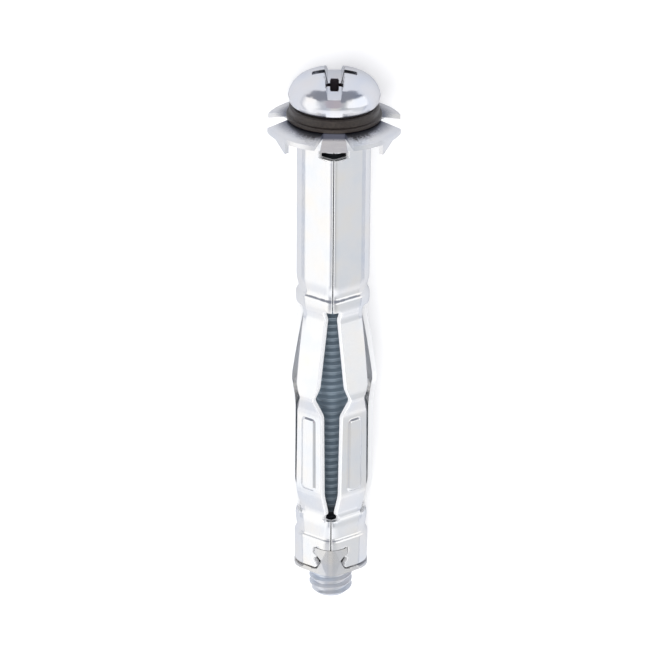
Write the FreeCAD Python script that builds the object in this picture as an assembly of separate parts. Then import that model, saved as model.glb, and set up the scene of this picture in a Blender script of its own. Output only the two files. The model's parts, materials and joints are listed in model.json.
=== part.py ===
import FreeCAD, Part
import math
import os

# A metal hollow wall anchor for an M6 screw, lying on its back.
# It is drawn upright first: the axis is Z, the head is up, the sleeve's seam
# faces -Y and z = 0 is the flange plate's upper face. At the end every piece is
# turned onto its back, resting on two petal corners and on the nut plate.

# Screw
thread_radius = 2.95
screw_length = 72.2
tip_chamfer = 0.7
head_radius = 6.07
head_height = 4.65
head_foot_radius = 5.45
head_widest_rise = 1.35
head_shoulder_radius = 4.1
head_shoulder_drop = 0.8
slot_width = 1.75
slot_depth = 1.65
recess_reach = 3.15
recess_wing = 1.15
recess_depth = 3.7
recess_root = 1.0

# Black retaining washer under the head
washer_radius = 6.3
washer_top_radius = 5.95
washer_height = 1.65
washer_lip_height = 0.5
washer_recess_depth = 0.55

# Flange plate
plate_thickness = 0.65
plate_radius = 9.1
plate_flat_radius = 6.45
petal_slope = 14.0
petal_count = 4
notch_root = 5.85
notch_root_half = 1.32
notch_side_angle = 23.0
tongue_end_half = 1.85
tongue_drop = 2.45
tongue_lean = 17.0
tooth_length = 1.45
tooth_start_angle = 45.0
tooth_end_angle = 58.0
tooth_tip_width = 0.22

# Sleeve, rolled from one sheet
sheet = 0.7
sleeve_length = 65.0
side_count = 5
collar_radius = 4.9
collar_length = 1.1
collar_taper = 0.8
tube_apothem = 4.55
corner_radius = 2.7
ridge_radius = 0.95
seam_width = 0.24
rim_reach = 0.75
rim_thickness = 0.4

# Rings pressed into the tube above and below the legs, and the legs' bends
groove_at = 23.6
groove_depth = 0.16
groove_run = 1.4
ring_at = 25.2
ring_rise = 0.16
ring_end = 26.2
waist_at = 27.5
waist_apothem = 4.3
knee_at = 38.7
knee_apothem = 6.05
shin_at = 41.2
shin_apothem = 5.24
ankle_at = 53.3
foot_at = 56.6
foot_apothem = 4.3
cuff_at = 58.0
cuff_crease_at = 60.8
cuff_rise = 0.13
cuff_run = 0.9

# Slots between the legs
slot_top = 26.0
slot_top_half = 1.2
slot_neck_half = 0.98
slot_neck_at = 27.3
slot_knee_half = 1.95
knee_notch_half = 2.6
knee_notch_length = 3.2
slot_shin_half = 1.45
slot_ankle_half = 1.3
slot_foot_half = 0.8
slot_end_half = 1.05
slot_end = 57.3

# Raised panel on each leg
panel_top = 41.9
panel_bottom = 52.9
panel_half = 1.2
panel_rise = 0.28
panel_draft = 0.28

# Nut plate with its boss and the tab that locks the seam
nut_plate_thickness = 0.65
nut_gap = 0.05
boss_radius = 3.78
boss_length = 5.0
tab_top = 61.8
tab_ear_half = 2.3
tab_neck_half = 1.25
tab_neck_at = 63.6
tab_foot_half = 2.1
tab_gap = 0.09

# Fits
running_gap = 0.05
seat_gap = 0.1
rim_gap = 0.15

HALF_SIDE = 180.0 / side_count
COS_HALF = math.cos(math.radians(HALF_SIDE))
AXIS = FreeCAD.Vector(0, 0, 1)
ORIGIN = FreeCAD.Vector(0, 0, 0)

washer_bottom = seat_gap
head_bottom = washer_bottom + washer_height + running_gap
head_top = head_bottom + head_height
screw_tip = head_bottom - screw_length
inner_shaft_radius = thread_radius + running_gap
cuff_apothem = tube_apothem + cuff_rise
nut_plate_end = -(sleeve_length + nut_gap + nut_plate_thickness)


def front(angle, radius, z):
    """A point at an angle round the axis, counted from the seam towards +X."""
    turn = math.radians(angle)
    return FreeCAD.Vector(radius * math.sin(turn), -radius * math.cos(turn), z)


def rounded_face(corners, radii, place):
    """A flat face whose straight sides meet in arcs; place maps (u, v) to space."""
    count = len(corners)
    starts, middles, ends = [], [], []
    for index, (corner, radius) in enumerate(zip(corners, radii)):
        here = FreeCAD.Vector(corner[0], corner[1], 0)
        before = FreeCAD.Vector(*corners[index - 1], 0) - here
        after = FreeCAD.Vector(*corners[(index + 1) % count], 0) - here
        half = before.getAngle(after) / 2
        reach = radius / math.tan(half)
        inward = before.normalize() + after.normalize()
        inward.normalize()
        starts.append(here + before * reach)
        ends.append(here + after * reach)
        middles.append(here + inward * (radius / math.sin(half) - radius))
    edges = []
    for index in range(count):
        start, middle, end = (place(p.x, p.y) for p in (starts[index], middles[index], ends[index]))
        following = starts[(index + 1) % count]
        if radii[index] > 0:
            edges.append(Part.Arc(start, middle, end).toShape())
        edges.append(Part.makeLine(end, place(following.x, following.y)))
    return Part.Face(Part.Wire(edges))


def mirrored(half_outline):
    """Closes a half outline, drawn down its right side, with its left side."""
    left = [(-u, v, r) for u, v, r in reversed(half_outline)]
    outline = half_outline + left
    return [(u, v) for u, v, r in outline], [r for u, v, r in outline]


def front_prism(half_outline, near, far):
    """A prism through the front of the wall, from its outline seen from the front."""
    corners, radii = mirrored(half_outline)
    face = rounded_face(corners, radii, lambda u, v: FreeCAD.Vector(u, -near, v))
    return face.extrude(FreeCAD.Vector(0, near - far, 0))


def turned(shape, angle):
    """A copy of the shape turned round the axis, the seam's side towards +X."""
    copy = shape.copy()
    copy.rotate(ORIGIN, AXIS, angle)
    return copy


def section(apothem, side_radius, seam_radius, z):
    """The sleeve's five-sided outline: four round corners and the seam's ridge."""
    edges = []
    firsts, lasts = [], []
    for index in range(side_count):
        angle = index * 2 * HALF_SIDE
        radius = seam_radius if index == 0 else side_radius
        centre = front(angle, (apothem - radius) / COS_HALF, z)
        first, middle, last = (centre + front(angle + swing, radius, 0)
                               for swing in (-HALF_SIDE, 0, HALF_SIDE))
        edges.append([Part.Arc(first, middle, last).toShape()])
        firsts.append(first)
        lasts.append(last)
    for index in range(side_count):
        edges[index].append(Part.makeLine(lasts[index], firsts[(index + 1) % side_count]))
    return Part.Wire([edge for pair in edges for edge in pair])


def meridian():
    """Distance of the flats from the axis, down the sleeve from collar to end."""
    return [
        (collar_length, tube_apothem),
        (groove_at - groove_run, tube_apothem),
        (groove_at, tube_apothem - groove_depth),
        (ring_at, tube_apothem + ring_rise),
        (ring_end, tube_apothem + ring_rise),
        (waist_at, waist_apothem),
        (knee_at, knee_apothem),
        (shin_at, shin_apothem),
        (ankle_at, shin_apothem),
        (foot_at, foot_apothem),
        (cuff_at, tube_apothem),
        (cuff_crease_at, tube_apothem),
        (cuff_crease_at + cuff_run, cuff_apothem),
        (sleeve_length, cuff_apothem),
    ]


def skin(inset):
    """The solid inside the sleeve's surface, or inside its wall for an inset."""
    wires = [section(apothem - inset, corner_radius - inset, ridge_radius - inset, -depth)
             for depth, apothem in meridian()]
    collar = Part.makeCylinder(collar_radius - inset, collar_length + rim_thickness,
                               FreeCAD.Vector(0, 0, -collar_length))
    taper = Part.makeCone(tube_apothem - inset, collar_radius - inset, collar_taper,
                          FreeCAD.Vector(0, 0, -collar_length - collar_taper))
    return Part.makeLoft(wires, True, True).fuse(collar).fuse(taper)


def slot_outline():
    """Half of a slot: its T at the top, the knee's notch, and the narrow foot."""
    half_notch = knee_notch_length / 2
    return [
        (slot_top_half, -slot_top, 0.25),
        (slot_top_half, -slot_top - 0.7, 0.0),
        (slot_neck_half, -slot_neck_at, 0.0),
        (slot_knee_half, -knee_at + half_notch, 0.0),
        (knee_notch_half, -knee_at - 0.35, 0.4),
        (slot_shin_half, -knee_at - half_notch - 1.1, 0.6),
        (slot_ankle_half, -ankle_at, 0.0),
        (slot_foot_half, -foot_at + 0.5, 0.0),
        (slot_foot_half, -foot_at, 0.0),
        (slot_end_half, -foot_at, 0.0),
        (slot_end_half, -slot_end, 0.2),
    ]


def tab_outline(gap):
    """Half of the dovetail tab, with a gap all round for the hole it sits in."""
    return [
        (tab_ear_half + gap, -tab_top + gap, 0.3),
        (tab_ear_half + gap, -tab_top - 0.75, 0.0),
        (tab_neck_half + gap, -tab_neck_at, 0.35),
        (tab_foot_half + gap, -sleeve_length - 0.4, 0.0),
    ]


def leg_panel(apothem, half, shrink):
    """The outline of a leg's raised panel, on a plane square to the front."""
    half_outline = [
        (half - shrink, -panel_top - shrink, 0.75),
        (half - shrink, -panel_bottom + shrink, 0.35),
    ]
    corners, radii = mirrored(half_outline)
    return rounded_face(corners, radii, lambda u, v: FreeCAD.Vector(u, -apothem, v))


def raised_panel(inset):
    """A panel standing out of the leg's face, with sloping sides."""
    base = leg_panel(shin_apothem - sheet, panel_half - inset, 0)
    foot = leg_panel(shin_apothem - inset, panel_half - inset, 0)
    top = leg_panel(shin_apothem + panel_rise - inset, panel_half - inset, panel_draft)
    body = Part.makeLoft([base.OuterWire, foot.OuterWire, top.OuterWire], True, True)
    return turned(body, HALF_SIDE)


def make_sleeve():
    """The rolled sheet: collar, five-sided tube, five folding legs and cuff."""
    wall = skin(0).cut(skin(sheet))
    wall = wall.fuse(Part.makeCylinder(collar_radius + rim_reach, rim_thickness).cut(
        Part.makeCylinder(collar_radius - sheet, rim_thickness)))
    slot = front_prism(slot_outline(), 2.0, 9.0)
    for index in range(side_count):
        wall = wall.cut(turned(slot, index * 2 * HALF_SIDE))
    outer_panel = raised_panel(0)
    hollow_half = panel_half - sheet / 2
    hollow = Part.makeBox(2 * hollow_half, 2, panel_bottom - panel_top, FreeCAD.Vector(
        -hollow_half, sheet - panel_rise - shin_apothem, -panel_bottom))
    hollow = turned(hollow, HALF_SIDE)
    for index in range(side_count):
        turn = index * 2 * HALF_SIDE
        wall = wall.fuse(turned(outer_panel, turn)).cut(turned(hollow, turn))
    seam_length = sleeve_length + rim_thickness + 1
    seam = Part.makeBox(seam_width, 9, seam_length,
                        FreeCAD.Vector(-seam_width / 2, -11, -sleeve_length - 0.5))
    wall = wall.cut(seam)
    return wall.cut(front_prism(tab_outline(tab_gap), 3.0, 8.0))


def make_nut_plate():
    """Pressed end plate with a threaded boss and a tab locked into the seam."""
    plate_top = -sleeve_length - nut_gap
    outline = section(cuff_apothem, corner_radius, ridge_radius, plate_top)
    plate = Part.Face(outline).extrude(FreeCAD.Vector(0, 0, -nut_plate_thickness))
    boss = Part.makeCylinder(boss_radius, boss_length + nut_gap,
                             FreeCAD.Vector(0, 0, plate_top))
    upper = section(cuff_apothem, corner_radius, ridge_radius, plate_top)
    wall = Part.Face(upper).extrude(FreeCAD.Vector(0, 0, 4))
    inner = section(cuff_apothem - sheet, corner_radius - sheet, ridge_radius - sheet, plate_top)
    wall = wall.cut(Part.Face(inner).extrude(FreeCAD.Vector(0, 0, 4)))
    tab = wall.common(front_prism(tab_outline(0), 3.0, 8.0))
    body = plate.fuse(boss).fuse(tab)
    bore = Part.makeCylinder(inner_shaft_radius, 20, FreeCAD.Vector(0, 0, plate_top - 10))
    return body.cut(bore).removeSplitter()


def make_flange_plate():
    """Stamped plate: dished petals, a tongue in each notch, a tooth on each petal."""
    slope = math.tan(math.radians(petal_slope))
    drop = (plate_radius - plate_flat_radius) * slope
    hole = collar_radius + running_gap
    profile = [(hole, 0), (plate_flat_radius, 0), (plate_radius, -drop),
               (plate_radius, -drop - plate_thickness),
               (plate_flat_radius, -plate_thickness), (hole, -plate_thickness)]
    points = [FreeCAD.Vector(r, 0, z) for r, z in profile]
    dish = Part.Face(Part.makePolygon(points + points[:1])).revolve(ORIGIN, AXIS, 360)
    widening = math.tan(math.radians(notch_side_angle))
    mouth = plate_radius + 2
    mouth_half = notch_root_half + (mouth - notch_root) * widening
    notch_corners, notch_radii = mirrored([
        (notch_root_half, -notch_root, 0.2),
        (mouth_half, -mouth, 0.0)])
    notch = rounded_face(notch_corners, notch_radii, lambda u, v: FreeCAD.Vector(u, v, 2))
    notch = notch.extrude(FreeCAD.Vector(0, 0, -5))
    lean = math.radians(tongue_lean)
    run = tongue_drop * math.tan(lean)
    wide = plate_thickness / math.cos(lean)
    fold = [(notch_root - wide - 0.25, 0), (notch_root, 0), (notch_root + 0.1, -0.12),
            (notch_root + run, -tongue_drop), (notch_root + run - wide, -tongue_drop - 0.1),
            (notch_root - wide + 0.05, -plate_thickness)]
    fold_points = [FreeCAD.Vector(-tongue_end_half, -y, z) for y, z in fold]
    tongue = Part.Face(Part.makePolygon(fold_points + fold_points[:1]))
    tongue = tongue.extrude(FreeCAD.Vector(2 * tongue_end_half, 0, 0))
    trapezium = Part.Face(Part.makePolygon([
        FreeCAD.Vector(-notch_root_half, -20, 0.1),
        FreeCAD.Vector(notch_root_half, -20, 0.1),
        FreeCAD.Vector(tongue_end_half, -20, -tongue_drop - 0.2),
        FreeCAD.Vector(-tongue_end_half, -20, -tongue_drop - 0.2),
        FreeCAD.Vector(-notch_root_half, -20, 0.1)]))
    tongue = tongue.common(trapezium.extrude(FreeCAD.Vector(0, 20, 0)))
    for index in range(petal_count):
        dish = dish.cut(turned(notch, index * 360 / petal_count))
    for index in range(petal_count):
        dish = dish.fuse(turned(tongue, index * 360 / petal_count))
    tooth = make_tooth(drop)
    mirror_x = tooth.mirror(ORIGIN, FreeCAD.Vector(1, 0, 0))
    for half in (tooth, mirror_x):
        dish = dish.fuse(half).fuse(half.mirror(ORIGIN, FreeCAD.Vector(0, 1, 0)))
    return dish.removeSplitter()


def make_tooth(drop):
    """A pointed claw bent down from the rim of the right front petal."""
    middle = (tooth_start_angle + tooth_end_angle) / 2
    half = plate_radius * math.radians(tooth_end_angle - tooth_start_angle) / 2
    root = -drop - plate_thickness / 2
    tip = -drop - plate_thickness - tooth_length
    back = plate_radius - plate_thickness - 0.12
    outline = [(-half, root), (half, root), (half * 0.95, root - 0.5),
               (-half + tooth_tip_width, tip), (-half, tip)]
    points = [FreeCAD.Vector(u, -back, v) for u, v in outline]
    claw = Part.Face(Part.makePolygon(points + points[:1]))
    claw = claw.extrude(FreeCAD.Vector(0, -(plate_thickness - 0.05), 0))
    return turned(claw, middle)


def make_screw():
    """Pan head screw with a slot and a cross recess; its thread is left plain."""
    foot = FreeCAD.Vector(head_foot_radius, 0, head_bottom)
    widest = FreeCAD.Vector(head_radius, 0, head_bottom + head_widest_rise)
    shoulder = FreeCAD.Vector(head_shoulder_radius, 0, head_top - head_shoulder_drop)
    crown = FreeCAD.Vector(0, 0, head_top)
    flank = FreeCAD.Vector(head_radius - 0.16, 0, head_bottom + 0.4 * head_widest_rise)
    cheek = FreeCAD.Vector(head_radius - 0.62, 0, head_bottom + head_widest_rise + 1.45)
    # the crown is the cap of a sphere through the shoulder
    crown_radius = (head_shoulder_radius ** 2 + head_shoulder_drop ** 2) / (2 * head_shoulder_drop)
    brow_drop = crown_radius - math.sqrt(crown_radius ** 2 - (head_shoulder_radius / 2) ** 2)
    brow = FreeCAD.Vector(head_shoulder_radius / 2, 0, head_top - brow_drop)
    tip_radius = thread_radius - tip_chamfer
    edges = [
        Part.makeLine(crown, FreeCAD.Vector(0, 0, screw_tip)),
        Part.makeLine(FreeCAD.Vector(0, 0, screw_tip), FreeCAD.Vector(tip_radius, 0, screw_tip)),
        Part.makeLine(FreeCAD.Vector(tip_radius, 0, screw_tip),
                      FreeCAD.Vector(thread_radius, 0, screw_tip + tip_chamfer)),
        Part.makeLine(FreeCAD.Vector(thread_radius, 0, screw_tip + tip_chamfer),
                      FreeCAD.Vector(thread_radius, 0, head_bottom)),
        Part.makeLine(FreeCAD.Vector(thread_radius, 0, head_bottom), foot),
        Part.makeLine(foot, flank),
        Part.makeLine(flank, widest),
        Part.Arc(widest, cheek, shoulder).toShape(),
        Part.Arc(shoulder, brow, crown).toShape(),
    ]
    screw = Part.Face(Part.Wire(edges)).revolve(ORIGIN, AXIS, 360)
    slot = Part.makeBox(slot_width, 4 * head_radius, head_height,
                        FreeCAD.Vector(-slot_width / 2, -2 * head_radius, head_top - slot_depth))
    floor = head_top - recess_depth
    cross = Part.makeBox(2 * recess_reach, recess_wing, head_height,
                         FreeCAD.Vector(-recess_reach, -recess_wing / 2, floor))
    cross = cross.fuse(turned(cross, 90))
    taper = Part.makeCone(recess_root, recess_reach * 1.02, recess_depth, FreeCAD.Vector(0, 0, floor))
    cone = taper.fuse(Part.makeCylinder(recess_reach * 1.02, head_height, FreeCAD.Vector(0, 0, head_top)))
    return screw.cut(slot).cut(cross.common(cone)).removeSplitter()


def make_washer():
    """Black ring with a wider lip at its foot and a recess for the sleeve's rim."""
    bore = inner_shaft_radius
    recess = collar_radius + rim_reach + rim_gap
    top = washer_bottom + washer_height
    lip_top = washer_bottom + washer_lip_height
    hollow = washer_bottom + washer_recess_depth
    profile = [
        (bore, hollow), (recess, hollow), (recess, washer_bottom),
        (washer_radius, washer_bottom), (washer_radius, lip_top),
        (washer_top_radius, lip_top + 0.1), (washer_top_radius, top - 0.15),
        (washer_top_radius - 0.15, top), (bore, top)]
    points = [FreeCAD.Vector(r, 0, z) for r, z in profile]
    return Part.Face(Part.makePolygon(points + points[:1])).revolve(ORIGIN, AXIS, 360)


def resting_tilt():
    """Lean of the axis when petal corners and nut plate touch the ground."""
    slope = math.tan(math.radians(petal_slope))
    side = math.radians(notch_side_angle)
    # where the notch's side line meets the rim
    offset = notch_root_half - notch_root * math.tan(side)
    reach = plate_radius * math.cos(side + math.asin(offset * math.cos(side) / plate_radius))
    petal_depth = (plate_radius - plate_flat_radius) * slope + plate_thickness
    end_depth = -nut_plate_end
    end_reach = cuff_apothem
    lean = math.atan((reach - end_reach) / (end_depth - petal_depth))
    height = reach * math.cos(lean) + petal_depth * math.sin(lean)
    return lean, height


def laid_down(shape, lean, height):
    """Turns an upright piece onto its back, head towards +Y, seam upward."""
    copy = shape.copy()
    copy.rotate(ORIGIN, FreeCAD.Vector(1, 0, 0), -90 + math.degrees(lean))
    copy.translate(FreeCAD.Vector(0, 0, height))
    return copy


def main():
    os.makedirs("parts", exist_ok=True)
    pieces = {
        "screw": make_screw(),
        "retaining_washer": make_washer(),
        "flange_plate": make_flange_plate(),
        "sleeve": make_sleeve(),
        "nut_plate": make_nut_plate(),
    }
    lean, height = resting_tilt()
    laid = {name: laid_down(shape, lean, height) for name, shape in pieces.items()}
    box = Part.makeCompound(list(laid.values())).optimalBoundingBox(False, False)
    middle = (box.YMin + box.YMax) / 2
    for name, shape in laid.items():
        shape.translate(FreeCAD.Vector(0, -middle, 0))
        shape.exportStep("parts/" + name + ".step")
        print(name, len(shape.Solids), "solids", len(shape.Faces), "faces",
              round(shape.Volume, 2), "mm3", shape.isValid())
    print("lean", math.degrees(lean), "axis height", height, "shift", middle)


main()
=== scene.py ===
import json
import math

import bmesh
import bpy
import numpy as np
from mathutils import Matrix, Vector


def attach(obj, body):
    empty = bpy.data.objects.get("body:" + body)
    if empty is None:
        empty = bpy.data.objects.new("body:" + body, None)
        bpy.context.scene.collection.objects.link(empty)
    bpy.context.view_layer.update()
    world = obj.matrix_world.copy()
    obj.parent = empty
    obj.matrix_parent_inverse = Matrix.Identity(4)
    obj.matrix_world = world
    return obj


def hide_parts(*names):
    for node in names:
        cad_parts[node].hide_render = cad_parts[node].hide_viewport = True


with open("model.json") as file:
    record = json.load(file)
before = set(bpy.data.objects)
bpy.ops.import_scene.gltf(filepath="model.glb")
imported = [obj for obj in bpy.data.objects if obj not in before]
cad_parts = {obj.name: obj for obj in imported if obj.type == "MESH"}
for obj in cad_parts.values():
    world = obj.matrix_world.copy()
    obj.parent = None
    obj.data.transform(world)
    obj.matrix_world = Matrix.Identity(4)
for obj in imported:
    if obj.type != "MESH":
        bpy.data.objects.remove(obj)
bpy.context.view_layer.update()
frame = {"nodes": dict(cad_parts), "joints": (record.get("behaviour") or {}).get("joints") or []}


# Sleeve. One strip of soft steel, punched with its slots, pressed with two rings
# and a panel on each leg, then rolled five-sided and left open down the front.
# It is zinc plated bright after forming, with a faint blue and a faint warm tint.
MM = 0.001
SIDES = 5
HALF_SIDE = math.pi / SIDES
sheet_thickness = 0.7
seam_gap = 0.16
# a cut edge's rounding, how far from the cut its points lie, and what counts as far
sheared_radius = 0.15
sheared_steps = [0.1, 0.06, 0.025, 0.0]
away_from_cuts = 1.0
# depth below the plate's face, distance of the flats, corner radius, seam ridge radius
sleeve_forms = [
    (-0.06, 5.6, 5.5, 5.5), (-0.02, 5.3, 5.2, 5.2), (0.12, 4.95, 4.85, 4.85),
    (0.35, 4.9, 4.8, 4.8), (1.1, 4.9, 4.8, 4.8), (2.4, 4.58, 3.4, 2.6), (3.6, 4.55, 2.7, 1.25),
    (22.5, 4.55, 2.7, 1.25), (23.6, 4.36, 3.0, 1.4), (24.2, 4.36, 3.2, 1.5),
    (24.55, 4.72, 3.4, 1.6), (25.9, 4.72, 3.4, 1.6), (27.4, 4.3, 2.9, 1.25),
    (38.7, 6.05, 2.7, 1.25), (41.2, 5.24, 2.7, 1.25), (53.3, 5.24, 2.7, 1.25),
    (56.6, 4.3, 2.7, 1.25), (57.8, 4.6, 2.7, 1.25), (60.15, 4.4, 2.9, 1.8),
    (60.5, 4.72, 3.0, 2.2), (65.0, 4.7, 3.2, 2.6)]
sleeve_end = 64.8
# depth and half the width, down each slot and down the cut-out for the nut plate's tab
slot_line = [
    (26.0, 0.95), (26.02, 1.2), (26.7, 1.2), (27.3, 0.98), (37.1, 1.98), (38.9, 2.65),
    (41.4, 1.45), (53.3, 1.3), (56.1, 0.8), (56.6, 0.8), (56.75, 1.1), (57.28, 1.1), (57.3, 0.85)]
slot_top, slot_end = slot_line[0][0], slot_line[-1][0]
tab_line = [
    (61.8, 2.0), (61.83, 2.3), (62.4, 2.36), (62.75, 2.36), (63.0, 1.9), (63.7, 1.85),
    (64.1, 1.5), (65.4, 2.3)]
tab_clearance = 0.1
cut_out_top = tab_line[0][0] - tab_clearance
form_ease, slot_ease, tab_ease = 0.7, 0.35, 0.32
# the window below the plate's front tongue, and round relief holes at the tab's neck
window_top, window_end, window_half = 3.15, 4.15, 2.0
relief_reach, relief_depth, relief_radius = 0.42, 63.75, 0.6
panel_top, panel_bottom = 41.9, 52.9
panel_half, panel_rise, panel_corner, panel_draft = 1.2, 0.26, 0.8, 0.34
# columns from a leg's middle to its edge, and rows from one depth to the next
leg_columns = [0, 0.5, 0.8, 0.88, 0.96, 1.04, 1.12, 1.2, 1.4, 1.95]
corner_columns = 5
row_stretches = [
    (-0.06, 0.4, 8), (0.4, 1.1, 2), (1.1, 3.1, 5), (3.1, 4.8, 8), (4.8, 22.0, 6), (22.0, 23.2, 6),
    (23.2, 24.9, 16), (24.9, 28.0, 13), (28.0, 37.0, 7), (37.0, 41.8, 20), (41.8, 42.6, 8),
    (42.6, 52.2, 6), (52.2, 53.0, 8), (53.0, 56.0, 10), (56.0, 58.6, 14), (58.6, 60.0, 4),
    (60.0, 60.7, 8), (60.7, sleeve_end, 20)]
closest_rows = 0.04
weld_distance = 0.002

turn_joint = next(joint for joint in frame["joints"] if joint["type"] == "hinge")
towards_head = Vector(turn_joint["axis"])
collar_centre = Vector(turn_joint["pos_m"])
across = Vector((1, 0, 0))
to_back = towards_head.cross(across)
lay_turn = Matrix((across, to_back, towards_head)).transposed().to_4x4()
lay_down = Matrix.Translation(collar_centre) @ lay_turn @ Matrix.Scale(MM, 4)


def eased(line, reach, steps=4):
    """A line down the sleeve, with each of its bends eased into a short curve."""
    points = [np.array(line[0], float)]
    for before, corner, after in zip(line, line[1:], line[2:]):
        before, corner, after = (np.array(p, float) for p in (before, corner, after))
        run_in = np.linalg.norm((corner - before)[:2])
        run_out = np.linalg.norm((after - corner)[:2])
        short = min(reach, 0.45 * run_in, 0.45 * run_out)
        start = corner + (before - corner) * short / run_in
        end = corner + (after - corner) * short / run_out
        for t in np.linspace(0, 1, steps + 1):
            points.append((1 - t) ** 2 * start + 2 * t * (1 - t) * corner + t * t * end)
    points.append(np.array(line[-1], float))
    return np.array(points)


sleeve_curve = eased(sleeve_forms, form_ease)
slot_curve = eased(slot_line, slot_ease)
tab_curve = eased(tab_line, tab_ease)


def form_at(depth):
    """Distance of the flats, corner radius and seam ridge radius at a depth."""
    return [np.interp(depth, sleeve_curve[:, 0], sleeve_curve[:, i]) for i in (1, 2, 3)]


def radial(flat, corner, offset):
    """How far out the five-sided form lies, at an offset sideways from a corner's plane."""
    if offset <= corner * math.sin(HALF_SIDE):
        return (flat - corner) / math.cos(HALF_SIDE) + math.sqrt(corner ** 2 - offset ** 2)
    return (flat - offset * math.sin(HALF_SIDE)) / math.cos(HALF_SIDE)


def panel_height(sideways, depth):
    """How far a leg's raised panel stands out at a place on the flat."""
    middle = (panel_top + panel_bottom) / 2
    out_u = abs(sideways) - (panel_half - panel_corner)
    out_v = abs(depth - middle) - ((panel_bottom - panel_top) / 2 - panel_corner)
    inside = panel_corner - math.hypot(max(out_u, 0), max(out_v, 0)) - min(max(out_u, out_v), 0)
    t = min(max(inside / panel_draft, 0), 1)
    return panel_rise * t * t * (3 - 2 * t)


def half_slot(corner, depth):
    """Half the width cut away beside a corner, or where the cut's line would run on."""
    if corner == 0 and window_top <= depth <= window_end:
        return window_half
    if corner == 0 and depth > cut_out_top:
        away = min(abs(depth - relief_depth) / relief_radius, 1)
        cut = np.interp(depth + tab_clearance, tab_curve[:, 0], tab_curve[:, 1]) + tab_clearance
        return cut + relief_reach * math.sqrt(1 - away ** 2)
    if corner == 0 and depth > slot_end:
        share = (depth - slot_end) / (cut_out_top - slot_end)
        return slot_line[-1][1] + share * (tab_line[0][1] + tab_clearance - slot_line[-1][1])
    return np.interp(depth, slot_curve[:, 0], slot_curve[:, 1])


def is_open(corner, depth):
    """Whether the sheet is cut away beside a corner at a depth."""
    if corner == 0 and (window_top <= depth <= window_end or depth >= cut_out_top):
        return True
    return slot_top <= depth <= slot_end


def sheet_faces(corner, side, offset, depth, raised, from_cut):
    """The sheet's outer and inner point beside a corner, in the upright frame in mm."""
    flat, round_corner, ridge = form_at(depth)
    radius = ridge if corner == 0 else round_corner
    out = radial(flat, radius, offset)
    turn = 2 * HALF_SIDE * corner
    x = out * math.sin(turn) + side * offset * math.cos(turn)
    y = -out * math.cos(turn) + side * offset * math.sin(turn)
    facing = turn + side * min(HALF_SIDE, math.asin(min(offset / radius, 1)))
    normal = Vector((math.sin(facing), -math.cos(facing), 0))
    # a punched edge is drawn in a little on its outer face
    short = max(sheared_radius - from_cut, 0)
    drawn_in = sheared_radius - math.sqrt(sheared_radius ** 2 - short ** 2)
    face = Vector((x, y, -depth)) + normal * raised
    return face - normal * drawn_in, face - normal * sheet_thickness


def sleeve_rows():
    """Depths of the rows across the blank, close together where it is bent or cut."""
    ends = {window_top, window_end, slot_top, slot_end, cut_out_top}
    rows = set(ends)
    for start, end, count in row_stretches:
        rows.update(np.linspace(start, end, count + 1))
    cuts = np.concatenate([slot_curve[:, 0], tab_curve[:, 0] - tab_clearance])
    rows.update(depth for depth in cuts if depth < sleeve_end)
    ordered = sorted(rows)
    kept = [ordered[0]]
    for depth in ordered[1:]:
        if depth - kept[-1] > closest_rows or depth in ends:
            kept.append(depth)
    return kept


def places_beside(corner, depth):
    """A row's places from a leg's middle to its corner, in three values each.

    They are the offset from the corner's plane, how far it is from the leg's middle,
    and the distance from the nearest cut."""
    slant = math.cos(HALF_SIDE)
    edge = half_slot(corner, depth)
    middle = form_at(depth)[0] * math.sin(HALF_SIDE)
    seam = seam_gap / 2 if corner == 0 else 0.0
    cut = is_open(corner, depth)
    places = []
    for column in leg_columns:
        reach = middle - edge - slant * sheared_radius
        offset = middle - reach * column / leg_columns[-1]
        places.append((offset, (middle - offset) / slant, away_from_cuts))
    for away in sheared_steps:
        places.append((edge + slant * away, panel_half, away if cut else away_from_cuts))
    for share in np.linspace(1, 0, corner_columns + 1)[1:]:
        offset = seam + sheared_radius + (edge - seam - sheared_radius) * share
        places.append((offset, panel_half, away_from_cuts))
    for away in sheared_steps:
        places.append((seam + away, panel_half, away if corner == 0 else away_from_cuts))
    return places


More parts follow.
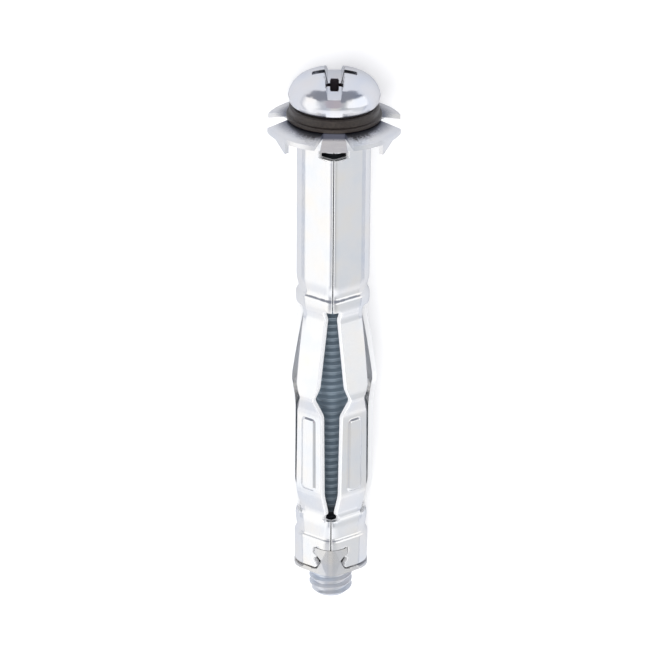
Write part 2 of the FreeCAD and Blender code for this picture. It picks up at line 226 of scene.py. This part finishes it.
def rolled_blank():
    """The sheet with its slots, seam and the tab's cut-out, both faces and all edges."""
    mesh = bmesh.new()
    inside = mesh.verts.layers.float_vector.new("inside")
    sheared = mesh.verts.layers.float.new("sheared")
    rows = sleeve_rows()
    leg_faces = len(leg_columns) + len(sheared_steps) - 1
    for corner in range(SIDES):
        for side in (-1, 1):
            grid = []
            for depth in rows:
                line = []
                for offset, sideways, from_cut in places_beside(corner, depth):
                    raised = panel_height(sideways, depth)
                    outer, inner = sheet_faces(corner, side, offset, depth, raised, from_cut)
                    vertex = mesh.verts.new(outer)
                    vertex[inside] = inner
                    vertex[sheared] = max(1 - from_cut / sheared_radius, 0)
                    line.append(vertex)
                grid.append(line)
            for row, (upper, lower) in enumerate(zip(grid, grid[1:])):
                cut = is_open(corner, (rows[row] + rows[row + 1]) / 2)
                for i in range(leg_faces if cut else len(upper) - 1):
                    corners = (upper[i], upper[i + 1], lower[i + 1], lower[i])
                    mesh.faces.new(corners if side < 0 else corners[::-1])
    bmesh.ops.delete(mesh, geom=[v for v in mesh.verts if not v.link_faces], context="VERTS")
    bmesh.ops.remove_doubles(mesh, verts=mesh.verts, dist=weld_distance)
    bmesh.ops.recalc_face_normals(mesh, faces=mesh.faces)
    front = min(mesh.faces, key=lambda face: face.calc_center_median().y)
    if front.normal.y > 0:
        bmesh.ops.reverse_faces(mesh, faces=mesh.faces)
    # the inner face follows the outer one, and each border gets its sheared wall
    outer_faces = list(mesh.faces)
    borders = [(loop.vert, loop.link_loop_next.vert) for edge in mesh.edges if edge.is_boundary
               for loop in edge.link_loops]
    pairs = {vertex: mesh.verts.new(vertex[inside]) for vertex in list(mesh.verts)}
    for face in outer_faces:
        mesh.faces.new([pairs[vertex] for vertex in reversed(face.verts)])
    for first, second in borders:
        pairs[first][sheared] = 1.0
        mesh.faces.new((second, first, pairs[first], pairs[second]))
    return mesh


class Step:
    """One step in the recipe of a finish, of the light or of the thread's form.

    Python's own operators work on it, and node() makes every other kind of step."""

    def __init__(self, tree, socket=None):
        self.tree = tree
        self.socket = socket

    def feed(self, node, **plugs):
        """Gives a node's inputs their values, or links the steps that they follow."""
        for name, value in plugs.items():
            plug = node.inputs[int(name[1:]) if name[0] == "_" else name.replace("_", " ")]
            if isinstance(value, Step):
                self.tree.links.new(value.socket, plug)
            elif plug.type == "RGBA":
                plug.default_value = (*value, 1)
            else:
                plug.default_value = value

    def node(self, kind, settings=(), output=0, **plugs):
        """Makes a node, with its settings first and then what its inputs are fed."""
        made = self.tree.nodes.new(kind)
        for name, value in dict(settings).items():
            if name == "stops":
                ramp = made.color_ramp
                while len(ramp.elements) < len(value):
                    ramp.elements.new(1)
                for element, (place, colour) in zip(ramp.elements, value):
                    element.position = place
                    element.color = (*colour, 1)
            elif name == "choices":
                while len(made.index_switch_items) < value:
                    made.index_switch_items.new()
            else:
                setattr(made, name, value)
        self.feed(made, **plugs)
        return Step(self.tree, made.outputs[output] if made.outputs else None)

    def maths(self, operation, first, second=0.0):
        return self.node("ShaderNodeMath", {"operation": operation}, _0=first, _1=second)

    def __add__(self, other):
        return self.maths("ADD", self, other)

    def __radd__(self, other):
        return self.maths("ADD", other, self)

    def __sub__(self, other):
        return self.maths("SUBTRACT", self, other)

    def __rsub__(self, other):
        return self.maths("SUBTRACT", other, self)

    def __mul__(self, other):
        return self.maths("MULTIPLY", self, other)

    def __rmul__(self, other):
        return self.maths("MULTIPLY", other, self)

    def __truediv__(self, other):
        return self.maths("DIVIDE", self, other)

    def __rtruediv__(self, other):
        return self.maths("DIVIDE", other, self)


OBJECT_COORDINATES = 3
mixed_colours = {"data_type": "RGBA"}
line_scale, cloud_scale, grain_scale = 9000, 260, 4200
cloud_rough, grain_rough = 0.08, 0.06
finish_relief = 0.02 * MM
crease = 40


def new_finish(name):
    """A material with one shader, and the handle that its nodes are made with."""
    material = bpy.data.materials.new(name)
    material.use_nodes = True
    shader = material.node_tree.nodes["Principled BSDF"]
    return material, shader, Step(material.node_tree)


def bright_zinc(name, cool, plain, warm, roughness, rolling, stretch=(1, 0.04, 1), second=None):
    """Bright zinc plate: a clear mirror with soft tints and fine lines from rolling.

    second is a mask's function with the colour, metal and roughness where the mask is 1."""
    material, shader, at = new_finish(name)
    place = at.node("ShaderNodeTexCoord", output=OBJECT_COORDINATES)
    lean = math.asin(towards_head.z)
    along = at.node("ShaderNodeMapping", _0=place, Rotation=(-lean, 0, 0), Scale=stretch)
    lines = at.node("ShaderNodeTexNoise", _0=along, Scale=line_scale, Detail=2)
    clouds = at.node("ShaderNodeTexNoise", _0=place, Scale=cloud_scale, Detail=3)
    grain = at.node("ShaderNodeTexNoise", _0=place, Scale=grain_scale, Detail=2)
    colour = at.node("ShaderNodeValToRGB", {"stops": [(0.3, cool), (0.5, plain), (0.72, warm)]},
                     _0=clouds)
    middling = roughness - (cloud_rough + grain_rough) / 2
    rough = clouds * cloud_rough + (grain * grain_rough + middling)
    metal = 1.0
    if second:
        find_mask, other_colour, other_metal, other_rough = second
        mask = find_mask(at, place)
        if callable(other_colour):
            other_colour = other_colour(at, place)
        colour = at.node("ShaderNodeMix", mixed_colours, 2, _0=mask, _6=colour, _7=other_colour)
        rough = rough + mask * (other_rough - roughness)
        metal = 1.0 - mask * (1.0 - other_metal)
    ripple = lines * rolling + grain * (rolling * 0.6)
    bump = at.node("ShaderNodeBump", Height=ripple, Strength=0.35, Distance=finish_relief)
    at.feed(shader, Base_Color=colour, Metallic=metal, Roughness=rough, Normal=bump)
    return material


def sheared_edge_highlight_mask(at, place):
    """Where the sheet was sheared: its cut faces, and the outer face just beside a cut.

    They are rougher and less of a mirror, and painted near white as a painted highlight.
    """
    return at.node("ShaderNodeAttribute", {"attribute_name": "sheared"}, "Fac")


def placed(name, data):
    """Puts a mesh, a lamp or the camera into the scene."""
    made = bpy.data.objects.new(name, data)
    bpy.context.scene.collection.objects.link(made)
    return made


def drafted(name, mesh=None):
    """A draft of a piece in the scene, from a mesh in upright mm where there is one."""
    draft = placed(name + "_draft", bpy.data.meshes.new(name + "_draft"))
    if mesh is not None:
        mesh.to_mesh(draft.data)
    return draft


def shaped(draft):
    """The draft's mesh with its modifiers worked in, once the draft is taken away."""
    graph = bpy.context.evaluated_depsgraph_get()
    shape = bpy.data.meshes.new_from_object(draft.evaluated_get(graph))
    bpy.data.objects.remove(draft)
    return shape


def finish_piece(mesh, name, node, body, material, edge_radius=0.0, sharp=crease):
    """Turns a mesh in upright mm into a laid-down piece, its sharp edges eased."""
    draft = drafted(name, mesh)
    mesh.free()
    draft.data.shade_smooth()
    draft.data.set_sharp_from_angle(angle=math.radians(sharp))
    if edge_radius:
        bevel = draft.modifiers.new("edges", "BEVEL")
        bevel.width = edge_radius
        bevel.segments = 3
        bevel.limit_method = "ANGLE"
        bevel.angle_limit = math.radians(crease)
        bevel.use_clamp_overlap = True
    smooth = draft.modifiers.new("flats", "WEIGHTED_NORMAL")
    smooth.weight = 60
    smooth.keep_sharp = True
    shape = shaped(draft)
    shape.transform(lay_down)
    piece = placed(name, shape)
    shape.materials.clear()
    shape.materials.append(material)
    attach(piece, body)
    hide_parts(node)
    return piece


# the sleeve's cut faces are rougher, and painted near white as a painted highlight
zinc_sheet = bright_zinc("rolled_zinc_sheet", (0.76, 0.78, 0.81), (0.80, 0.80, 0.805),
                         (0.82, 0.80, 0.77), roughness=0.13, rolling=1.0,
                         second=(sheared_edge_highlight_mask, (0.95, 0.955, 0.96), 0.2, 0.4))
finish_piece(rolled_blank(), "rolled_sleeve", "sleeve", "anchor", zinc_sheet)


# Nut plate. A thicker pressing with the threaded boss inside the sleeve's end and
# a dovetail tab that is folded up into the sleeve's seam to lock it. Its front is
# pressed a little rounder than the solid's ridge, as the sleeve's end is.
solid_weld, flat_angle = 0.001, 0.002
front_face = -3.2
shortest_front_edge = 0.4
solid_flat, solid_ridge = 4.7, 2.6
pressed_flat, pressed_ridge = 4.68, 0.95


def upright_copy(node):
    """The node's own form in the upright frame in mm, its flat faces whole."""
    mesh = bmesh.new()
    mesh.from_mesh(frame["nodes"][node].data)
    bmesh.ops.transform(mesh, matrix=lay_down.inverted(), verts=mesh.verts)
    bmesh.ops.remove_doubles(mesh, verts=mesh.verts, dist=solid_weld)
    straight = [edge for edge in mesh.edges if edge.calc_face_angle(0) < flat_angle]
    bmesh.ops.dissolve_edges(mesh, edges=straight, use_verts=False)
    return mesh


zinc_plate = bright_zinc("stamped_zinc_plate", (0.6, 0.61, 0.64), (0.64, 0.635, 0.63),
                         (0.68, 0.66, 0.63), roughness=0.27, rolling=0.5)
tabbed = upright_copy("nut_plate")
bmesh.ops.triangulate(tabbed, faces=tabbed.faces)
front_edges = [edge for edge in tabbed.edges
               if min(vertex.co.y for vertex in edge.verts) < front_face
               and edge.calc_length() > shortest_front_edge]
bmesh.ops.subdivide_edges(tabbed, edges=front_edges, cuts=3)
for vertex in tabbed.verts:
    offset = abs(vertex.co.x)
    if vertex.co.y < front_face:
        vertex.co.y += (radial(pressed_flat, pressed_ridge, offset)
                        - radial(solid_flat, solid_ridge, offset))
finish_piece(tabbed, "tabbed_nut_plate", "nut_plate", "anchor", zinc_plate)


# Flange plate. Stamped and dished, with a tongue bent down in each notch and a
# claw at each petal's rim that bites into the wall. The petals are painted darker
# where they are dished beside the washer: painted shade, and a painted reflection
# of the black washer.
dish_radius, dish_rim_radius = 6.3, 8.6
dish_low, dish_high = -1.1, -0.6
plate_edge_radius = 0.07


def from_axis(at, place):
    """How far a place is from the screw's axis."""
    centred = at.node("ShaderNodeVectorMath", {"operation": "SUBTRACT"}, _0=place,
                      _1=tuple(collar_centre))
    turned = at.node("ShaderNodeVectorMath", {"operation": "CROSS_PRODUCT"}, _0=centred,
                     _1=tuple(towards_head))
    return at.node("ShaderNodeVectorMath", {"operation": "LENGTH"}, 1, _0=turned)


def up_axis(at, place):
    """How far a place is from the plate's face, along the screw's axis towards the head."""
    centred = at.node("ShaderNodeVectorMath", {"operation": "SUBTRACT"}, _0=place,
                      _1=tuple(collar_centre))
    return at.node("ShaderNodeVectorMath", {"operation": "DOT_PRODUCT"}, 1, _0=centred,
                   _1=tuple(towards_head))


def swept(at, value, start, end, interpolation="SMOOTHSTEP"):
    """0 where the value is at the start or before it, 1 at the end or past it."""
    return at.node("ShaderNodeMapRange", {"interpolation_type": interpolation}, _0=value,
                   _1=start, _2=end, _3=0.0, _4=1.0)


def painted_dish_shade_mask(at, place):
    """Where the petals are dished beside the washer, and painted dark as painted shade."""
    return (swept(at, from_axis(at, place), dish_rim_radius * MM, dish_radius * MM)
            * swept(at, up_axis(at, place), dish_low * MM, dish_high * MM))


# the petals' dark blue-grey beside the washer is painted shade and a painted reflection of the
# washer
zinc_flange = bright_zinc("zinc_flange_painted_shade", (0.70, 0.72, 0.76), (0.76, 0.76, 0.77),
                          (0.79, 0.77, 0.75), roughness=0.24, rolling=1.6, stretch=(0.05, 1, 1),
                          second=(painted_dish_shade_mask, (0.15, 0.16, 0.205), 0.9, 0.3))
finish_piece(upright_copy("flange_plate"), "claw_flange", "flange_plate", "anchor", zinc_flange,
             plate_edge_radius)


# Retaining washer. Moulded in black plastic with a wider lip, its edges soft and
# its skin a fine matt grain.
washer_edge_radius = 0.08
black, black_shader, dark = new_finish("black_washer_plastic")
washer_place = dark.node("ShaderNodeTexCoord", output=OBJECT_COORDINATES)
washer_grain = dark.node("ShaderNodeTexNoise", _0=washer_place, Scale=3500, Detail=3)
washer_black = dark.node("ShaderNodeValToRGB", {"stops": [
    (0.3, (0.018, 0.013, 0.011)), (0.7, (0.04, 0.03, 0.024))]}, _0=washer_grain)
washer_bump = dark.node("ShaderNodeBump", Height=washer_grain, Strength=0.2,
                        Distance=finish_relief)
dark.feed(black_shader, Base_Color=washer_black, Roughness=washer_grain * 0.12 + 0.3,
          Normal=washer_bump)
finish_piece(upright_copy("retaining_washer"), "soft_washer", "retaining_washer", "washer", black,
             washer_edge_radius)


# Screw. Cold headed with a slot and a cross recess, its thread rolled right up to
# the head, and zinc plated with the rest. The cross recess and the thread inside the
# sleeve are painted dark, as painted shade.
thread_pitch = 1.0
thread_crest = 2.95
thread_root = 2.39
screw_tip = -70.4
head_seat = 1.8
seat_overlap = 0.3
tip_radius = 2.2
thread_sizes = {"Pitch": thread_pitch, "Crest": thread_crest, "Root": thread_root,
                "Tip": screw_tip, "Seat": head_seat + seat_overlap, "Tip radius": tip_radius}
# along one pitch: where the form's corners lie, and how deep each one is
thread_form = [(0.0, 0.0), (0.14, 0.0), (0.42, 0.96), (0.57, 1.04), (0.72, 0.96)]
thread_columns = 56
# each punch's half width, half length and height, at its foot and at its mouth
head_crown = 6.45
slot_floor = 4.45
recess_floor = 2.9
slot_punch = ((0.85, 9, slot_floor), (1.35, 9, head_crown + 0.3))
recess_punch = ((0.4, 1.3, recess_floor), (0.52, 2.45, slot_floor + 0.1))
recess_reach = 3.1
# painted shade on the thread: near black past the slots and behind the window, none on the tip
# past the nut plate
painted_shade_black = (0.05, 0.055, 0.065)
sleeve_foot = -60.0
shade_free_tip = -65.5


def thread_tree():
    """Wraps a flat grid into a threaded shank: its rows follow the helix."""
    tree = bpy.data.node_groups.new("rolled_thread", "GeometryNodeTree")
    at = Step(tree)
    inputs = {label: tree.interface.new_socket(label, in_out="INPUT",
                                               socket_type="NodeSocketFloat").identifier
              for label in thread_sizes}
    tree.interface.new_socket("Geometry", in_out="OUTPUT", socket_type="NodeSocketGeometry")
    pitch, crest, root, tip, seat, tip_out = (
        at.node("NodeGroupInput", output=label) for label in inputs)
    per_pitch = len(thread_form)
    turns = math.ceil((head_seat - screw_tip) / thread_pitch) + 2
    rows = per_pitch * turns + 1
    grid = at.node("GeometryNodeMeshGrid", Size_X=1, Size_Y=1, Vertices_X=thread_columns + 1,
                   Vertices_Y=rows)
    place = at.node("GeometryNodeInputPosition")
    around = at.node("ShaderNodeSeparateXYZ", output=0, _0=place) + 0.5
    down = at.node("ShaderNodeSeparateXYZ", output=1, _0=place) + 0.5
    row = at.maths("ROUND", down * (rows - 1))
    which = at.maths("FLOORED_MODULO", row, per_pitch)
    whole = at.maths("FLOOR", (row + 0.01) / per_pitch)
    phase, deep = (
        at.node("GeometryNodeIndexSwitch", {"data_type": "FLOAT", "choices": per_pitch},
                _0=which, **{f"_{i + 1}": value for i, value in enumerate(values)})
        for values in zip(*thread_form))
    height = tip + pitch * (whole + phase + around - 1.5)
    height = at.maths("MINIMUM", at.maths("MAXIMUM", height, tip), seat)
    out = crest - (crest - root) * deep
    out = at.maths("MINIMUM", out, tip_out + (height - tip))
    turn = around * (2 * math.pi)
    wrapped = at.node("ShaderNodeCombineXYZ", X=out * at.maths("SINE", turn),
                      Y=out * at.maths("COSINE", turn) * -1.0, Z=height)
    shank = at.node("GeometryNodeSetPosition", Geometry=grid, Position=wrapped)
    shank = at.node("GeometryNodeMergeByDistance", Geometry=shank, Distance=weld_distance)
    shank = at.node("GeometryNodeRealizeInstances", Geometry=shank)
    shank = at.node("GeometryNodeSetMaterial", Geometry=shank, Material=zinc_thread)
    at.node("NodeGroupOutput", Geometry=shank)
    return tree, inputs


def painted_recess_shade_mask(at, place):
    """The inside of the cross recess, painted black as painted shade."""
    low = at.maths("LESS_THAN", up_axis(at, place), (slot_floor - 0.06) * MM)
    return low * at.maths("LESS_THAN", from_axis(at, place), recess_reach * MM)


def painted_thread_shade_mask(at, place):
    """The thread above its tip, which stands out of the nut plate: where its shade is painted."""
    return at.maths("GREATER_THAN", up_axis(at, place), shade_free_tip * MM)


def painted_thread_shade(at, place):
    """Painted shade: dark blue-grey down the slots, and near black past them and behind the
    window.
    """
    share = swept(at, up_axis(at, place), sleeve_foot * MM, 0.0, "LINEAR")
    return at.node("ShaderNodeValToRGB", {"stops": [
        (0.045, painted_shade_black), (0.075, (0.27, 0.335, 0.39)), (0.88, (0.30, 0.37, 0.43)),
        (0.925, painted_shade_black)]}, _0=share)


# the cross recess is painted black, a painted shade
zinc_screw = bright_zinc("zinc_screw_painted_shade", (0.70, 0.73, 0.80), (0.76, 0.765, 0.79),
                         (0.79, 0.77, 0.77), roughness=0.16, rolling=0.5,
                         second=(painted_recess_shade_mask, (0.03, 0.02, 0.025), 0.3, 0.5))
# the thread inside the sleeve is painted dark, a painted shade
zinc_thread = bright_zinc("zinc_thread_painted_shade", (0.62, 0.67, 0.75), (0.66, 0.69, 0.74),
                          (0.70, 0.70, 0.72), roughness=0.3, rolling=0.5,
                          second=(painted_thread_shade_mask, painted_thread_shade, 0.35, 0.4))
shank = drafted("shank")
roller = shank.modifiers.new("thread", "NODES")
roller.node_group, thread_inputs = thread_tree()
for label, identifier in thread_inputs.items():
    roller[identifier] = thread_sizes[label]
shank_mesh = shaped(shank)

# the solid's own head, struck with a deeper slot and a recess along the slot's floor
head = upright_copy("screw")
bmesh.ops.bisect_plane(head, geom=head.verts[:] + head.edges[:] + head.faces[:],
                       plane_co=(0, 0, head_seat - 0.01), plane_no=(0, 0, 1), clear_inner=True)
bmesh.ops.holes_fill(head, edges=head.edges)
for punch_ends in (slot_punch, recess_punch):
    punch = bmesh.new()
    for half_x, half_y, z in punch_ends:
        for x, y in ((1, 1), (1, -1), (-1, 1), (-1, -1)):
            punch.verts.new((x * half_x, y * half_y, z))
    bmesh.ops.convex_hull(punch, input=punch.verts)
    bmesh.ops.recalc_face_normals(punch, faces=punch.faces)
    cutter = drafted("punch", punch)
    punch.free()
    head_draft = drafted("head", head)
    struck = head_draft.modifiers.new("punch", "BOOLEAN")
    struck.operation = "DIFFERENCE"
    struck.solver = "EXACT"
    struck.object = cutter
    head.clear()
    head.from_mesh(shaped(head_draft))
    bpy.data.objects.remove(cutter)
finish_piece(head, "headed_screw", "screw", "screw", zinc_screw, sharp=22)

shank_mesh.transform(lay_down)
thread = bmesh.new()
thread.from_mesh(shank_mesh)
bmesh.ops.holes_fill(thread, edges=thread.edges)
thread.to_mesh(shank_mesh)
thread.free()
shank_mesh.shade_smooth()
shank_mesh.set_sharp_from_angle(angle=math.radians(35))
shank_piece = placed("rolled_thread", shank_mesh)
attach(shank_piece, "screw")


# Studio. A white floor with the part's shadow, soft light from all round, and the
# camera looking down on the part with the head at the top of the picture.
floor_size = 2.0
floor_mesh = bmesh.new()
bmesh.ops.create_grid(floor_mesh, x_segments=1, y_segments=1, size=floor_size / 2)
floor = placed("studio_floor", bpy.data.meshes.new("studio_floor"))
floor_mesh.to_mesh(floor.data)
floor_mesh.free()
# white paper as the camera sees it, and a fifth as strong where the metal mirrors it
paper_in_metal = 0.2
floor_finish, floor_shader, under = new_finish("white_floor")
under.feed(floor_shader, Base_Color=(0.62, 0.64, 0.68), Roughness=0.9)
lit_paper = under.node("ShaderNodeBsdfDiffuse", Color=(0.98, 0.98, 0.98))
glow = under.node("ShaderNodeEmission", Color=(1, 1, 1), Strength=0.2)
paper = under.node("ShaderNodeAddShader", _0=lit_paper, _1=glow)
seen = (under.node("ShaderNodeLightPath", output="Is Camera Ray")
        + under.node("ShaderNodeLightPath", output="Is Glossy Ray") * paper_in_metal)
plain_floor = Step(under.tree, floor_shader.outputs[0])
blend = under.node("ShaderNodeMixShader", _0=seen, _1=plain_floor, _2=paper)
under.feed(under.tree.nodes["Material Output"], Surface=blend)
floor.data.materials.append(floor_finish)

# the room that the metal mirrors: bands from left to right, then what stands before them
room_bands = [
    (0.05, (0.74, 0.74, 0.74)), (0.12, (0.74, 0.74, 0.74)), (0.25, (0.38, 0.39, 0.42)),
    (0.36, (0.38, 0.39, 0.42)), (0.46, (0.48, 0.47, 0.455)), (0.54, (0.48, 0.47, 0.455)),
    (0.64, (0.32, 0.33, 0.35)), (0.74, (0.36, 0.37, 0.38)), (0.86, (0.47, 0.475, 0.48)),
    (0.98, (0.5, 0.51, 0.53))]
skirting_grey = (0.37, 0.39, 0.44)
window_white = (0.74, 0.74, 0.74)
low_wall_white = (0.72, 0.72, 0.73)
far_wall_grey = (0.17, 0.18, 0.21)
lens_grey = (0.33, 0.3, 0.32)
lens_direction = (0, 0.4226, 0.9063)
room_strength = 1.7
world = bpy.data.worlds.new("studio_light")
bpy.context.scene.world = world
world.use_nodes = True
sky = Step(world.node_tree)
ray = sky.node("ShaderNodeTexCoord", output=OBJECT_COORDINATES)
sideways, endways, upwards = (
    sky.node("ShaderNodeSeparateXYZ", output=axis, _0=ray) for axis in (0, 1, 2))
to_lens = sky.node("ShaderNodeVectorMath", {"operation": "DOT_PRODUCT"}, 1, _0=ray,
                   _1=lens_direction)
room = sky.node("ShaderNodeValToRGB", {"stops": room_bands}, _0=sideways * 0.5 + 0.5)
skirting = swept(sky, upwards, 0.0, 0.25)
# a window high on the right, which only the head and the knees mirror
window = swept(sky, sideways, 0.4, 0.6) * swept(sky, endways, -0.3, -0.12)
low_wall = swept(sky, endways, -0.45, -0.8)
far_wall = swept(sky, endways, 0.42, 0.62)
lens = swept(sky, to_lens, math.cos(math.radians(24)), math.cos(math.radians(14)))
light = sky.node("ShaderNodeMix", mixed_colours, 2, _0=skirting, _6=skirting_grey, _7=room)
for mask, colour in ((window, window_white), (low_wall, low_wall_white),
                     (far_wall, far_wall_grey), (lens, lens_grey)):
    light = sky.node("ShaderNodeMix", mixed_colours, 2, _0=mask, _6=light, _7=colour)
sky.feed(world.node_tree.nodes["Background"], Color=light, Strength=room_strength)

# a broad soft lamp from above, which the metal doesn't mirror
fill_direction = Vector((-0.25, -0.1, 0.96))
fill = placed("fill_light", bpy.data.lights.new("fill_light", "SUN"))
fill.data.energy = 1.5
fill.data.angle = math.radians(70)
fill.matrix_world = fill_direction.to_track_quat("Z", "Y").to_matrix().to_4x4()
fill.visible_glossy = False

picture_width = 665.0
focal_pixels = 3858.0
sensor_width = 36.0
view_rise = math.radians(25.0)
camera_distance = 519.0
aim_depth = 31.25
roll = math.radians(0.45)
camera = placed("camera", bpy.data.cameras.new("camera"))
camera.data.sensor_width = sensor_width
camera.data.lens = sensor_width * focal_pixels / picture_width
camera.data.clip_start = 0.01
camera.data.clip_end = 10
back_off = Vector((0, -math.cos(view_rise), math.sin(view_rise)))
up = Vector((0, math.sin(view_rise), math.cos(view_rise)))
camera_turn = Matrix((across, up, back_off)).transposed().to_4x4()
aim = lay_down @ Vector((0, 0, -aim_depth))
camera.matrix_world = (Matrix.Translation(aim + lay_turn @ back_off * camera_distance * MM)
                       @ lay_turn @ camera_turn @ Matrix.Rotation(roll, 4, "Z"))
bpy.context.scene.camera = camera
bpy.context.scene.view_settings.view_transform = "Standard"
